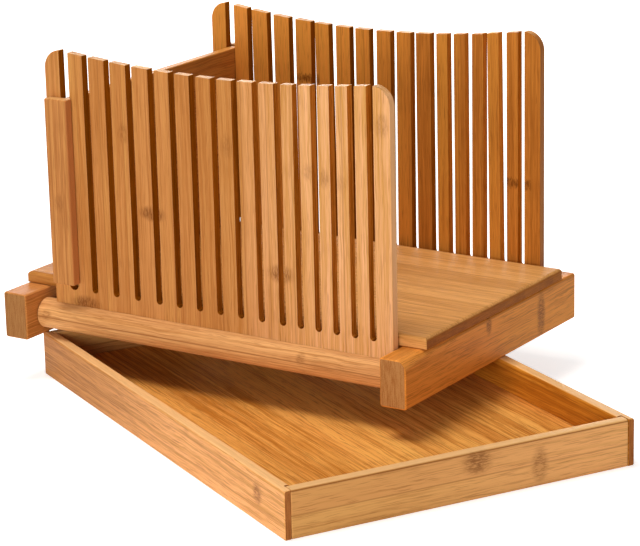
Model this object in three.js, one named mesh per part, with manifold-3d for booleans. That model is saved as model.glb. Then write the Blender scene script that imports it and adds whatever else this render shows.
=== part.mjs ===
// Bread slicing guide in laminated bamboo. Two slotted panels stand on hinge rods between two
// side rails, a cutting deck lies on the rails, and an end board drops through the first slot of
// both panels. The guide stands askew on the rim of its crumb tray.
// Lengths are millimetres and +Z is up. The origin is the middle of the footprint, on the table.

import * as THREE from 'three';
import { mergeVertices } from 'three/addons/utils/BufferGeometryUtils.js';
import Module from 'manifold-3d';

const wasm = await Module();
wasm.setup();

// Side rails. The right one's outer top edge is rounded at its front end.
const railWidth = 19.6;
const railHeight = 33;
const railLength = 232;
const railShoulderRound = 8;
const railShoulderRun = 95;
const railEdgeRound = 1.6;

// Slotted panels. Slats and slots are counted from the end that holds the end board.
const panelThickness = 6;
const cornerSlat = 12.5;
const boardSlat = 12.1;
const lastSlat = 12.6;
const slotWidth = 5.1;
const thickSlicePitch = 18.4;
const mediumSlicePitch = 16.9;
const thinSlicePitch = 14.1;
const slicePitches = [
  { pitch: thickSlicePitch, count: 3 },
  { pitch: mediumSlicePitch, count: 6 },
  { pitch: thinSlicePitch, count: 5 },
];
const panelEndHeight = 205.9;
const frontPanelHollow = 7.4;
const rearPanelHollow = 9.6;
const panelCornerRound = 13;
const slotBottomHeight = 36.3;
const panelEdgeEase = 0.8;
const panelGapLeft = 12.9;
const panelGapRight = 0.7;

// Hinge rods and their pins
const rodRadius = 10.75;
const hingeHeight = 15.3;
const frontHingeSetback = 21.8;
const rearHingeSetback = 11.5;
const rodEndPlay = 0.5;
const rodEdgeEase = 0.8;
const rodTongueFloor = 4;
const pinRadius = 2.5;
const pinInRod = 14;
const pinInRail = 12;

// Cutting deck and the screws that hold it from below
const deckThickness = 8;
const deckInset = 0.3;
const deckFrontGap = 2.4;
const deckBackGap = 4.7;
const deckTopRound = 3;
const deckBottomRound = 0.6;
const screwRadius = 2;
const screwHeadRadius = 4;
const screwHeadHeight = 2.6;
const screwInDeck = 5;
const screwEndMargin = 26;
const counterboreRadius = 4.6;
const counterboreDepth = 14;
const driveWidth = 1.1;
const driveDepth = 1.4;
const driveSpan = 4.6;

// End board and its two battens
const endBoardThickness = 6.6;
const endBoardHeight = 130.8;
const battenWidth = 18.6;
const battenDepth = 7.7;
const battenShift = -3.3;
const battenStandUp = 1;
const battenGroove = 3;
const battenEdgeRound = 1.4;
const endBoardEdgeRound = 1;

// Crumb tray
const trayWallThickness = 8.4;
const trayWallHeight = 31.8;
const trayWallRound = 2;
const trayFootRound = 1.2;
const trayCornerLap = 4.4;
const trayFloorThickness = 5;
const trayFloorLift = 5.8;
const trayGrooveDepth = 4;
const trayNestGap = 0.6;
const trayApron = 26.9;
const trayOffsetX = 73.9;
const trayOffsetY = -74.4;
const traySkewDegrees = -29.1;

// Clearances
const seatGap = 0.3;
const jointGap = 0.3;
const runningGap = 0.3;
const boardSlotGap = 0.5;
const cutOverrun = 2;

// Facet counts
const roundSteps = 4;
const slotEndSteps = 3;
const crownSteps = 2;
const shoulderSteps = 6;
const cornerSteps = 8;
const rodQuarterSteps = 20;
const pinSides = 20;

// Places that several pieces share, in the guide's own frame: X along the panels with zero midway
// between the rails, Y from the rails' front ends, Z from the rails' underside.
const boardSlotWidth = endBoardThickness + 2 * boardSlotGap;
const sliceRun = slicePitches.reduce((sum, group) => sum + group.pitch * group.count, 0);
const panelWidth = cornerSlat + boardSlotWidth + boardSlat + sliceRun + slotWidth + lastSlat;
const railSpan = panelGapLeft + panelWidth + panelGapRight;
const panelLeft = panelGapLeft - railSpan / 2;
const panelRight = panelLeft + panelWidth;
const frontHingeY = frontHingeSetback;
const rearHingeY = railLength - rearHingeSetback;
const deckUnderside = railHeight + seatGap;
const deckTop = deckUnderside + deckThickness;
const deckHalfLength = railSpan / 2 + railWidth - deckInset;
const deckFront = frontHingeY + panelThickness / 2 + deckFrontGap;
const deckBack = rearHingeY - panelThickness / 2 - deckBackGap;
const endBoardX = panelLeft + cornerSlat + boardSlotWidth / 2;
const endBoardBottom = deckTop + seatGap;
const guideLength = railSpan + 2 * railWidth;

// Bamboo finishes, from light side grain to dark end grain
const colours = {
  rail: '#c07c3c',
  panel: '#dc9a5b',
  rod: '#cf8f50',
  deck: '#d1924f',
  endBoard: '#c98744',
  trayWall: '#d0914f',
  trayFloor: '#bd7826',
  steel: '#b9bbbd',
};
const finishes = {};
for (const [name, colour] of Object.entries(colours)) {
  const metalness = name === 'steel' ? 1 : 0;
  finishes[name] = new THREE.MeshStandardMaterial({ color: colour, roughness: 0.5, metalness });
}

// Corner radii for a profile: one for the two low corners and one for the two top ones
function cornerRounds(low, top) {
  return { lowLeft: low, lowRight: low, topRight: top, topLeft: top };
}

// Two numbers in rising order
function ordered(first, second) {
  return [Math.min(first, second), Math.max(first, second)];
}

// A rectangle from zero to width and height, with a radius at each corner
function roundedProfile(width, height, { lowLeft, lowRight, topRight, topLeft }) {
  const quarter = Math.PI / 2;
  const shape = new THREE.Shape();
  shape.moveTo(lowLeft, 0);
  shape.lineTo(width - lowRight, 0);
  shape.absarc(width - lowRight, lowRight, lowRight, -quarter, 0);
  shape.lineTo(width, height - topRight);
  shape.absarc(width - topRight, height - topRight, topRight, 0, quarter);
  shape.lineTo(topLeft, height);
  shape.absarc(topLeft, height - topLeft, topLeft, quarter, 2 * quarter);
  shape.lineTo(0, lowLeft);
  shape.absarc(lowLeft, lowLeft, lowLeft, 2 * quarter, 3 * quarter);
  return shape;
}

// A prism from a profile, with its end edges eased, standing from zero to length
function prism(shape, length, ease, steps = roundSteps) {
  const geometry = new THREE.ExtrudeGeometry(shape, {
    depth: length - 2 * ease,
    bevelEnabled: true,
    bevelThickness: ease,
    bevelSize: ease,
    bevelOffset: -ease,
    bevelSegments: 1,
    curveSegments: steps,
  });
  geometry.translate(0, 0, ease);
  return geometry;
}

// A profile drawn across X and up Z, run along Y from zero
function prismAlongY(shape, length, ease, steps) {
  const geometry = prism(shape, length, ease, steps);
  geometry.rotateX(Math.PI / 2);
  geometry.translate(0, length, 0);
  return geometry;
}

// A profile drawn across Y and up Z, run along X from zero
function prismAlongX(shape, length, ease, steps) {
  const geometry = prism(shape, length, ease, steps);
  const turn = new THREE.Matrix4().makeBasis(
    new THREE.Vector3(0, 1, 0),
    new THREE.Vector3(0, 0, 1),
    new THREE.Vector3(1, 0, 0),
  );
  geometry.applyMatrix4(turn);
  return geometry;
}

// A plain block between two corners
function block(low, high) {
  const size = new THREE.Vector3().subVectors(high, low);
  const middle = new THREE.Vector3().addVectors(low, high).multiplyScalar(1 / 2);
  const geometry = new THREE.BoxGeometry(size.x, size.y, size.z);
  geometry.translate(middle.x, middle.y, middle.z);
  return geometry;
}

// A round bar between two places on a line along X
function barAlongX(radius, fromX, toX, y, z, sides) {
  const geometry = new THREE.CylinderGeometry(radius, radius, toX - fromX, sides);
  geometry.rotateZ(Math.PI / 2);
  geometry.translate((fromX + toX) / 2, y, z);
  return geometry;
}

// A round bar between two heights
function barAlongZ(radius, x, y, fromZ, toZ, sides) {
  const geometry = new THREE.CylinderGeometry(radius, radius, toZ - fromZ, sides);
  geometry.rotateX(Math.PI / 2);
  geometry.translate(x, y, (fromZ + toZ) / 2);
  return geometry;
}

// Joining and cutting, done on closed solids
function toSolid(geometry) {
  const bare = geometry.clone();
  bare.deleteAttribute('normal');
  bare.deleteAttribute('uv');
  const merged = mergeVertices(bare);
  return new wasm.Manifold(new wasm.Mesh({
    numProp: 3,
    vertProperties: new Float32Array(merged.attributes.position.array),
    triVerts: new Uint32Array(merged.index.array),
  }));
}

function toGeometry(solid) {
  const mesh = solid.getMesh();
  const geometry = new THREE.BufferGeometry();
  geometry.setAttribute('position', new THREE.BufferAttribute(mesh.vertProperties, mesh.numProp));
  geometry.setIndex(new THREE.BufferAttribute(mesh.triVerts, 1));
  geometry.computeVertexNormals();
  return geometry;
}

function cutAway(geometry, tools) {
  const rest = tools.reduce((solid, tool) => solid.subtract(toSolid(tool)), toSolid(geometry));
  return toGeometry(rest);
}

function addPiece(group, name, geometry, finish) {
  const mesh = new THREE.Mesh(geometry, finishes[finish]);
  mesh.name = name;
  group.add(mesh);
  return mesh;
}

const guide = new THREE.Group();
const tray = new THREE.Group();

// The cross drive of a deck screw, cut up into the head from below
function screwDrive(x, y, bottom) {
  const arms = [[driveSpan, driveWidth], [driveWidth, driveSpan]];
  return arms.map(([lengthX, lengthY]) => block(
    new THREE.Vector3(x - lengthX / 2, y - lengthY / 2, bottom - cutOverrun),
    new THREE.Vector3(x + lengthX / 2, y + lengthY / 2, bottom + driveDepth),
  ));
}

// The right rail's outer top edge is rounded at its front end, and the round runs out towards the
// back: the bar is trimmed to a larger one whose edge moves outwards and up along its length
function roundShoulder(bar, outerX) {
  const rounds = cornerRounds(railEdgeRound, railEdgeRound);
  rounds.topRight = railShoulderRound;
  const profile = roundedProfile(2 * railWidth, 2 * railHeight, rounds);
  const mouldLength = railLength + 2 * cutOverrun;
  const mould = prismAlongY(profile, mouldLength, railEdgeRound / 2, shoulderSteps);
  const roundDepth = railShoulderRound * (1 - Math.SQRT1_2);
  const slope = roundDepth / railShoulderRun;
  const slant = new THREE.Matrix4().makeBasis(
    new THREE.Vector3(1, 0, 0),
    new THREE.Vector3(slope, 1, slope),
    new THREE.Vector3(0, 0, 1),
  );
  mould.translate(0, -cutOverrun, 0);
  mould.applyMatrix4(slant);
  mould.translate(outerX - 2 * railWidth, 0, -railHeight);
  return toGeometry(toSolid(bar).intersect(toSolid(mould)));
}

// Each rail holds two hinge pins in blind bores and two deck screws in counterbores
const hingeLines = [
  { name: 'front', y: frontHingeY, panelHollow: frontPanelHollow },
  { name: 'rear', y: rearHingeY, panelHollow: rearPanelHollow },
];
const screwLines = [
  { name: 'front', y: deckFront + screwEndMargin },
  { name: 'rear', y: deckBack - screwEndMargin },
];
const railSides = [
  { name: 'left', side: -1 },
  { name: 'right', side: 1 },
];

const screwBoreRadius = screwRadius + jointGap;
const screwTop = deckUnderside + screwInDeck;
const screwHeadBottom = counterboreDepth - jointGap - screwHeadHeight;

for (const { name, side } of railSides) {
  const innerX = side * railSpan / 2;
  const middleX = innerX + side * railWidth / 2;
  const profile = roundedProfile(railWidth, railHeight, cornerRounds(railEdgeRound, railEdgeRound));
  let bar = prismAlongY(profile, railLength, railEdgeRound / 2);
  bar.translate(middleX - railWidth / 2, 0, 0);
  if (name === 'right') bar = roundShoulder(bar, innerX + railWidth);
  const tools = [];
  for (const hinge of hingeLines) {
    const [fromX, toX] = ordered(innerX - side * cutOverrun, innerX + side * (pinInRail + runningGap));
    tools.push(barAlongX(pinRadius + runningGap, fromX, toX, hinge.y, hingeHeight, pinSides));
  }
  for (const screw of screwLines) {
    tools.push(barAlongZ(counterboreRadius, middleX, screw.y, -cutOverrun, counterboreDepth, pinSides));
    tools.push(barAlongZ(screwBoreRadius, middleX, screw.y, 0, railHeight + cutOverrun, pinSides));
  }
  addPiece(guide, `${name}_rail`, cutAway(bar, tools), 'rail');

  for (const screw of screwLines) {
    const headTop = screwHeadBottom + screwHeadHeight;
    const shank = barAlongZ(screwRadius, middleX, screw.y, screwHeadBottom, screwTop, pinSides);
    const head = barAlongZ(screwHeadRadius, middleX, screw.y, screwHeadBottom, headTop, pinSides);
    const body = toGeometry(toSolid(shank).add(toSolid(head)));
    const drive = screwDrive(middleX, screw.y, screwHeadBottom);
    addPiece(guide, `deck_screw_${screw.name}_${name}`, cutAway(body, drive), 'steel');
  }
}

// The cutting deck lies on both rails. Its top edges are rounded all round.
function deckProfile(length) {
  return roundedProfile(length, deckThickness, cornerRounds(deckBottomRound, deckTopRound));
}

const deckDepth = deckBack - deckFront;
const deckAcross = prismAlongY(deckProfile(2 * deckHalfLength), deckDepth, deckBottomRound / 2);
deckAcross.translate(-deckHalfLength, deckFront, deckUnderside);
const deckAlong = prismAlongX(deckProfile(deckDepth), 2 * deckHalfLength, deckBottomRound / 2);
deckAlong.translate(-deckHalfLength, deckFront, deckUnderside);
const deckBoard = toGeometry(toSolid(deckAcross).intersect(toSolid(deckAlong)));
const deckHoles = [];
for (const { side } of railSides) {
  const middleX = side * (railSpan + railWidth) / 2;
  for (const screw of screwLines) {
    const holeTop = screwTop + jointGap;
    const holeBottom = deckUnderside - cutOverrun;
    deckHoles.push(barAlongZ(screwBoreRadius, middleX, screw.y, holeBottom, holeTop, pinSides));
  }
}
addPiece(guide, 'cutting_deck', cutAway(deckBoard, deckHoles), 'deck');

// Left and right edge of each slot, from the panel's left edge: the end board's slot comes first,
// and then the knife slots in three slice thicknesses
function slotEdges() {
  const edges = [{ left: cornerSlat, right: cornerSlat + boardSlotWidth }];
  let left = cornerSlat + boardSlotWidth + boardSlat;
  edges.push({ left, right: left + slotWidth });
  for (const { pitch, count } of slicePitches) {
    for (let slot = 0; slot < count; slot += 1) {
      left += pitch;
      edges.push({ left, right: left + slotWidth });
    }
  }
  return edges;
}

// Height of the panel's hollowed top edge at a distance from the panel's left edge. Both ends turn
// down in a quarter round.
function crownHeight(across, hollow) {
  const reach = panelWidth / 2 - panelCornerRound;
  const crownRadius = (reach * reach + hollow * hollow) / (2 * hollow);
  const fromMiddle = Math.abs(across - panelWidth / 2);
  const onCrown = Math.min(fromMiddle, reach);
  const rise = crownRadius - Math.sqrt(crownRadius * crownRadius - onCrown * onCrown);
  const pastReach = Math.min(fromMiddle - onCrown, panelCornerRound);
  const roundHeight = Math.sqrt(panelCornerRound * panelCornerRound - pastReach * pastReach);
  return panelEndHeight - hollow + rise - panelCornerRound + roundHeight;
}

// One slat's top, drawn from its right edge to its left. A corner slat's steps crowd towards the
// panel's edge, where the round is steepest.
function drawSlatTop(shape, right, left, hollow) {
  const atRightEnd = right === panelWidth;
  const atLeftEnd = left === 0;
  const steps = atRightEnd || atLeftEnd ? cornerSteps : crownSteps;
  for (let step = 0; step <= steps; step += 1) {
    const quarterShare = (step / steps) * (Math.PI / 2);
    let share = step / steps;
    if (atRightEnd) share = 1 - Math.cos(quarterShare);
    if (atLeftEnd) share = Math.sin(quarterShare);
    const across = right + (left - right) * share;
    shape.lineTo(across, crownHeight(across, hollow));
  }
}

// The round bottom of a slot, from its right side down and up to its left
function drawSlotBottom(shape, { left, right }) {
  const radius = (right - left) / 2;
  const steps = 2 * slotEndSteps;
  for (let step = 0; step <= steps; step += 1) {
    const angle = -Math.PI * step / steps;
    const across = left + radius + radius * Math.cos(angle);
    shape.lineTo(across, slotBottomHeight + radius + radius * Math.sin(angle));
  }
}

// The comb outline, from the tongue in the rod up the right edge and over the slats to the left
const tongueBottom = hingeHeight + rodTongueFloor;

function combOutline(hollow) {
  const shape = new THREE.Shape();
  shape.moveTo(0, tongueBottom);
  shape.lineTo(panelWidth, tongueBottom);
  let right = panelWidth;
  for (const slot of slotEdges().reverse()) {
    drawSlatTop(shape, right, slot.right, hollow);
    drawSlotBottom(shape, slot);
    right = slot.left;
  }
  drawSlatTop(shape, right, 0, hollow);
  return shape;
}

// Each panel stands in a groove along its hinge rod, and a steel pin in each end of the rod turns
// in the rail
for (const hinge of hingeLines) {
  const comb = prismAlongY(combOutline(hinge.panelHollow), panelThickness, panelEdgeEase);
  comb.translate(panelLeft, hinge.y - panelThickness / 2, 0);
  addPiece(guide, `${hinge.name}_slotted_panel`, comb, 'panel');

  const rodEnd = railSpan / 2 - rodEndPlay;
  const rodCircle = new THREE.Shape().absarc(hinge.y, hingeHeight, rodRadius, 0, 2 * Math.PI);
  const rod = prismAlongX(rodCircle, 2 * rodEnd, rodEdgeEase, rodQuarterSteps);
  rod.translate(-rodEnd, 0, 0);
  const grooveHalfWidth = panelThickness / 2 + jointGap;
  const groove = block(
    new THREE.Vector3(panelLeft - jointGap, hinge.y - grooveHalfWidth, tongueBottom - jointGap),
    new THREE.Vector3(panelRight + jointGap, hinge.y + grooveHalfWidth, hingeHeight + rodRadius + cutOverrun),
  );
  const pinHoles = [];
  for (const { name, side } of railSides) {
    const [pinFrom, pinTo] = ordered(side * (rodEnd - pinInRod), side * (railSpan / 2 + pinInRail));
    const pin = barAlongX(pinRadius, pinFrom, pinTo, hinge.y, hingeHeight, pinSides);
    addPiece(guide, `hinge_pin_${hinge.name}_${name}`, pin, 'steel');
    const holeDepth = pinInRod + jointGap;
    const [holeFrom, holeTo] = ordered(side * (rodEnd - holeDepth), side * (rodEnd + cutOverrun));
    pinHoles.push(barAlongX(pinRadius + jointGap, holeFrom, holeTo, hinge.y, hingeHeight, pinSides));
  }
  addPiece(guide, `${hinge.name}_hinge_rod`, cutAway(rod, [groove, ...pinHoles]), 'rod');
}

// The end board stands on the deck in the first slots. Its ends are glued into a groove down the
// inner face of each batten, and the battens hold the panels from outside.
const frontBattenBack = frontHingeY - panelThickness / 2 - seatGap;
const rearBattenFront = rearHingeY + panelThickness / 2 + seatGap;
const boardFront = frontBattenBack - battenGroove;
const boardBack = rearBattenFront + battenGroove;
const boardRounds = cornerRounds(endBoardEdgeRound, endBoardEdgeRound);
const boardSection = roundedProfile(endBoardThickness, endBoardHeight, boardRounds);
const endBoard = prismAlongY(boardSection, boardBack - boardFront, endBoardEdgeRound / 2);
endBoard.translate(endBoardX - endBoardThickness / 2, boardFront, endBoardBottom);
addPiece(guide, 'end_board', endBoard, 'endBoard');

const battenX = endBoardX + battenShift;
const battenHeight = endBoardHeight + battenStandUp;
const battenRounds = cornerRounds(battenEdgeRound, battenEdgeRound);
const battenSection = roundedProfile(battenWidth, battenDepth, battenRounds);
const frontGroove = [boardFront - jointGap, frontBattenBack + cutOverrun];
const rearGroove = [rearBattenFront - cutOverrun, boardBack + jointGap];
const battens = [
  { name: 'front', y: frontBattenBack - battenDepth, groove: frontGroove },
  { name: 'rear', y: rearBattenFront, groove: rearGroove },
];
for (const { name, y, groove: [grooveFront, grooveBack] } of battens) {
  const upright = prism(battenSection, battenHeight, battenEdgeRound / 2);
  upright.translate(battenX - battenWidth / 2, y, endBoardBottom);
  const grooveHalfWidth = endBoardThickness / 2 + jointGap;
  const groove = block(
    new THREE.Vector3(endBoardX - grooveHalfWidth, grooveFront, endBoardBottom - cutOverrun),
    new THREE.Vector3(endBoardX + grooveHalfWidth, grooveBack, endBoardBottom + endBoardHeight + jointGap),
  );
  addPiece(guide, `${name}_end_batten`, cutAway(upright, [groove]), 'endBoard');
}

// The crumb tray is sized so that the guide can also stand inside it, with an apron for crumbs. In
// its own frame X runs along the long walls and Z starts at the table.
const trayInnerWidth = railLength + 2 * trayNestGap;
const trayInnerLength = guideLength + trayApron;
const trayHalfWidth = trayInnerWidth / 2 + trayWallThickness;
const trayHalfLength = trayInnerLength / 2 + trayWallThickness;

const wallRounds = cornerRounds(trayFootRound, trayWallRound);
const wallProfile = roundedProfile(trayWallThickness, trayWallHeight, wallRounds);
const grooveBottom = trayFloorLift - jointGap;
const grooveTop = trayFloorLift + trayFloorThickness + jointGap;
const grooveReachX = trayInnerLength / 2 + trayGrooveDepth;
const grooveReachY = trayInnerWidth / 2 + trayGrooveDepth;
const floorRebate = block(
  new THREE.Vector3(-grooveReachX, -grooveReachY, grooveBottom),
  new THREE.Vector3(grooveReachX, grooveReachY, grooveTop),
);

// Long walls run through at the corners and lap over the short walls' ends
const lapInnerY = trayHalfWidth - trayCornerLap;
const lapInnerX = trayHalfLength - trayWallThickness - jointGap;
for (const { name, side } of [{ name: 'near', side: -1 }, { name: 'far', side: 1 }]) {
  const wall = prismAlongX(wallProfile, 2 * trayHalfLength, trayFootRound / 2);
  const wallMiddleY = side * (trayHalfWidth - trayWallThickness / 2);
  wall.translate(-trayHalfLength, wallMiddleY - trayWallThickness / 2, 0);
  const [lapFront, lapBack] = ordered(side * (trayInnerWidth / 2 - cutOverrun), side * lapInnerY);
  const laps = [-1, 1].map((end) => {
    const [lapLeft, lapRight] = ordered(end * lapInnerX, end * (trayHalfLength + cutOverrun));
    return block(
      new THREE.Vector3(lapLeft, lapFront, -cutOverrun),
      new THREE.Vector3(lapRight, lapBack, trayWallHeight + cutOverrun),
    );
  });
  addPiece(tray, `tray_${name}_long_wall`, cutAway(wall, [floorRebate, ...laps]), 'trayWall');
}

const shortWallHalfLength = lapInnerY - jointGap;
for (const { name, side } of [{ name: 'left', side: -1 }, { name: 'right', side: 1 }]) {
  const wall = prismAlongY(wallProfile, 2 * shortWallHalfLength, trayFootRound / 2);
  const wallMiddleX = side * (trayHalfLength - trayWallThickness / 2);
  wall.translate(wallMiddleX - trayWallThickness / 2, -shortWallHalfLength, 0);
  addPiece(tray, `tray_${name}_short_wall`, cutAway(wall, [floorRebate]), 'trayWall');
}

const floorBoard = block(
  new THREE.Vector3(jointGap - grooveReachX, jointGap - grooveReachY, trayFloorLift),
  new THREE.Vector3(grooveReachX - jointGap, grooveReachY - jointGap, trayFloorLift + trayFloorThickness),
);
addPiece(tray, 'tray_floor', floorBoard, 'trayFloor');

// The guide's rails lie on the tray's rim, and the tray lies askew below them
guide.position.z = trayWallHeight + seatGap;
tray.position.set(trayOffsetX, railLength / 2 + trayOffsetY, 0);
tray.rotation.z = THREE.MathUtils.degToRad(traySkewDegrees);

const slicingGuide = new THREE.Group();
slicingGuide.add(guide, tray);
slicingGuide.updateMatrixWorld(true);
const footprint = new THREE.Box3().setFromObject(slicingGuide, true).getCenter(new THREE.Vector3());
slicingGuide.position.set(-footprint.x, -footprint.y, 0);
slicingGuide.updateMatrixWorld(true);

export default slicingGuide;
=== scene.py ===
# %% [markdown]
# # A bread slicing guide in laminated bamboo
#
# The guide has two slotted panels that stand on hinge rods between two rails, a cutting deck, an
# end board that drops through the first slots, and a crumb tray that lies askew below it. This
# lesson dresses its measured model: it starts from the fixed frame, adds the pieces that need a
# finer shape, and gives every surface a bamboo or steel finish.

import math

import bpy
from mathutils import Matrix, Vector


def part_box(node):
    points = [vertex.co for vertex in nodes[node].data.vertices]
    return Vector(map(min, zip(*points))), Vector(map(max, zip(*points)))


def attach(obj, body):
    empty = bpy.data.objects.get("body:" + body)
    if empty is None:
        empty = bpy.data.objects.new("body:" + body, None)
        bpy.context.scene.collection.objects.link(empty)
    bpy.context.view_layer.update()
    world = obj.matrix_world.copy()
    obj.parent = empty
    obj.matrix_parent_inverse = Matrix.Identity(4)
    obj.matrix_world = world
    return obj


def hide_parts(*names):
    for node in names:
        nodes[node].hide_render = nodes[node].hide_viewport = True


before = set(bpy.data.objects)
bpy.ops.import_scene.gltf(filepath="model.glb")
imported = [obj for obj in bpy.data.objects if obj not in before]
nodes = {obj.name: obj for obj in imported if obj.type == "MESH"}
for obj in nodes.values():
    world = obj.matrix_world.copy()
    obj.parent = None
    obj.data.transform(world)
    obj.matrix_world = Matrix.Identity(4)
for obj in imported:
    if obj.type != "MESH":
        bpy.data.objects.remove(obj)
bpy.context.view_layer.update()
MM = 0.001

# %% [markdown]
# ## The view
#
# The camera stands in front and to the right, above the panels, far back with a long lens. Its
# place comes from the right angles of the rails, the panels and the tray. Its turns are written in
# radians, and its lens and sensor in millimetres.

# %% Camera
CAMERA_PLACE = Vector((949.27, -1432.80, 597.09)) * MM
CAMERA_YAW, CAMERA_PITCH, CAMERA_ROLL = -0.5813, 0.2816, -0.0237
CAMERA_LENS = 151.15
SENSOR_WIDTH = 36

ahead = Vector((
    math.sin(CAMERA_YAW) * math.cos(CAMERA_PITCH),
    math.cos(CAMERA_YAW) * math.cos(CAMERA_PITCH),
    -math.sin(CAMERA_PITCH),
))
level_right = ahead.cross(Vector((0, 0, 1))).normalized()
level_up = level_right.cross(ahead)
right = math.cos(CAMERA_ROLL) * level_right + math.sin(CAMERA_ROLL) * level_up
up = math.cos(CAMERA_ROLL) * level_up - math.sin(CAMERA_ROLL) * level_right

camera_data = bpy.data.cameras.new("camera")
camera_data.lens = CAMERA_LENS
camera_data.sensor_width = SENSOR_WIDTH
camera = bpy.data.objects.new("camera", camera_data)
camera.matrix_world = Matrix.Translation(CAMERA_PLACE) @ Matrix((right, up, -ahead)).transposed().to_4x4()
bpy.context.scene.collection.objects.link(camera)
bpy.context.scene.camera = camera
print("camera looks along", [round(v, 3) for v in ahead])

# %% [markdown]
# ## How node networks are built here
#
# Finishes and repeated shapes are both networks of nodes. One function adds a node, sets its
# options and joins its inputs, so each network below reads as a list of steps. A second one writes
# a line of arithmetic, and a third starts a material. Colours are written as they look on a screen
# and turned linear once.

# %% Node and colour helpers
def linear(code):
    """A screen colour such as '#c98643', as the linear values that the shaders work in."""
    channels = [int(code[place:place + 2], 16) / 255 for place in (1, 3, 5)]
    return tuple(c / 12.92 if c <= 0.04045 else ((c + 0.055) / 1.055) ** 2.4 for c in channels) + (1,)


def add_node(tree, kind, inputs=(), **options):
    """Adds a node. Each input is a value to set or another node's output to join."""
    node = tree.nodes.new(kind)
    for name, value in options.items():
        setattr(node, name, value)
    for name, value in dict(inputs).items():
        if isinstance(value, bpy.types.NodeSocket):
            tree.links.new(value, node.inputs[name])
        else:
            node.inputs[name].default_value = value
    return node


def calculator(tree):
    """A function that adds one step of arithmetic to this tree and gives its result."""
    def calc(operation, first, second=0.0, third=0.0, **options):
        inputs = {0: first, 1: second, 2: third}
        return add_node(tree, "ShaderNodeMath", inputs, operation=operation, **options).outputs[0]
    return calc


def new_material(name):
    """A material with an empty node tree, and that tree."""
    material = bpy.data.materials.new(name)
    material.use_nodes = True
    material.node_tree.nodes.clear()
    return material, material.node_tree


# %% [markdown]
# ## Laminated bamboo
#
# Bamboo board is glued up from planed strips. Steaming under pressure has browned it through, and
# oil gives it a satin sheen. Each strip has its own tone, between golden and rosy. Its fibres run
# straight and long, with fine dark dashes where the bundles are cut, and every so often there is
# a joint of the stalk, a speckled band. All of that runs through the wood. A pattern wrapped round
# each board wouldn't meet at its edges, so this one is solid: the fibres that draw streaks on a
# long face draw dots on an end. The group takes a place in millimetres with X across the strips,
# Y through them and Z along the fibres, and the facing of the surface in the same axes.

# %% Bamboo group
BAMBOO_INPUTS = (
    ("Place", "NodeSocketVector", None),
    ("Facing", "NodeSocketVector", None),
    ("Mark", "NodeSocketFloat", 0.0),
    ("Strip width", "NodeSocketFloat", 20.0),
    ("Strip depth", "NodeSocketFloat", 5.0),
    ("Strip shift", "NodeSocketFloat", 0.0),
    ("Seed", "NodeSocketFloat", 0.0),
    ("Joint spacing", "NodeSocketFloat", 230.0),
    ("Joint share", "NodeSocketFloat", 0.35),
    ("Dashes", "NodeSocketFloat", 0.4),
    ("Streaks", "NodeSocketFloat", 1.0),
    ("Strip contrast", "NodeSocketFloat", 0.6),
    ("Glue lines", "NodeSocketFloat", 0.5),
    ("Sawn side share", "NodeSocketFloat", 0.0),
    ("Paleness", "NodeSocketFloat", 0.0),
    ("Golden", "NodeSocketColor", linear("#dca05c")),
    ("Rosy", "NodeSocketColor", linear("#d8945c")),
    ("Deep", "NodeSocketColor", linear("#b87536")),
    ("Pale", "NodeSocketColor", linear("#e9ae7a")),
    ("Fibre", "NodeSocketColor", linear("#8a4f20")),
    ("Joint", "NodeSocketColor", linear("#5a2c0c")),
    ("Sawn side", "NodeSocketColor", linear("#8a4f1c")),
    ("End grain", "NodeSocketColor", linear("#a46a38")),
)
BAMBOO_OUTPUTS = (
    ("Color", "NodeSocketColor"),
    ("Roughness", "NodeSocketFloat"),
    ("Height", "NodeSocketFloat"),
)

# Each noise: grains per millimetre across the fibres, grains per millimetre along them, detail
GRAINS = {
    "wander": (0.03, 0.01, 2.0),
    "ripple": (0.08, 0.06, 2.0),
    "broad": (0.16, 0.004, 2.0),
    "streak": (0.5, 0.008, 2.0),
    "fine": (1.25, 0.022, 2.0),
    "dash": (1.7, 0.06, 1.0),
    "cloud": (0.04, 0.012, 2.0),
    "plies": (1.1, 0.02, 2.0),
    "stroke": (1.4, 0.24, 2.0),
    "ragged": (0.5, 0.3, 2.0),
}

# Millimetres: how far fibres wander and ripple, and how far apart two strips' patterns may start
WANDER, RIPPLE, PATTERN_REACH = 4.0, 1.6, 57.0

# Millimetres: a stalk joint's half width where it fades and where it is full, and its ragged edge
JOINT_FADE, JOINT_FULL, JOINT_RAGGED = 4.5, 1.0, 9.0

# Millimetres: a glue line, drawn far coarser than the real one so that it shows
GLUE_LINE = 0.8

# Two odd factors that shift each glued layer by another share of a strip
LAYER_STEP, LAYER_SPREAD = 0.618, 7.31

# On an end the plies show as flat layers: sideways, their noise changes at this share of its rate
PLY_STRETCH = 0.08

# Between which values of its noise each kind of mark fades in
STROKE_FADE, DASH_FADE, FINE_FADE, PORE_FADE = (0.42, 0.58), (0.55, 0.68), (0.56, 0.76), (0.42, 0.66)

# How squarely a surface has to face sideways, or along the fibres, to take the side's painted light or to be
# an end
SIDE_FADE, END_FADE = (0.6, 0.9), (0.75, 0.96)

# How far each noise swings the hue, the shade or the end grain
HUE_SWING, BROAD_SWING, STREAK_SWING, FINE_SWING, CLOUD_SWING, PLY_SWING = 2.0, 1.2, 1.8, 1.9, 0.5, 2.2
MIDDLE_SHADE = 0.4

# Oiled bamboo is a little glossier where a streak is strong
ROUGHEST, STREAK_POLISH = 0.58, -0.16


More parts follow.
